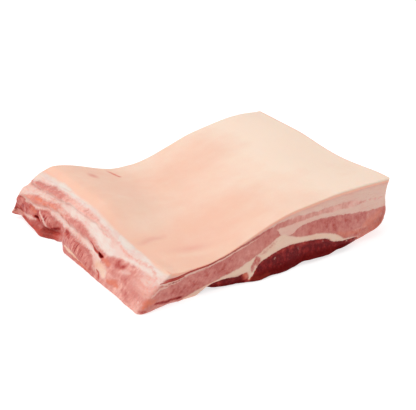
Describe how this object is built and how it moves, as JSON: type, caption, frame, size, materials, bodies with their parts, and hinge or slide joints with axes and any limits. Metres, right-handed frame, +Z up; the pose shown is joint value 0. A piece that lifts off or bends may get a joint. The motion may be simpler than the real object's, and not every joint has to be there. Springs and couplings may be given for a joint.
{
  "type": "pork belly slab",
  "caption": "Raw skin-on pork belly slab: smooth rind over layers of fat and lean, with a thin sloping end, a thick rounded end and a flat-lying underside.",
  "frame": {"origin": "middle of the bounding box's bottom face, on the surface the slab lies on", "axes": "+X from the thin sloping end to the thick end, +Y away from the cut long side, +Z up through the rind"},
  "size_m": [0.314, 0.2578, 0.0605],
  "materials": {
    "raw_belly": "matt peach rind above; satin raw fat and lean on the cut sides and underside"
  },
  "bodies": {
    "root": {"slab": "raw_belly"}
  },
  "joints": []
}
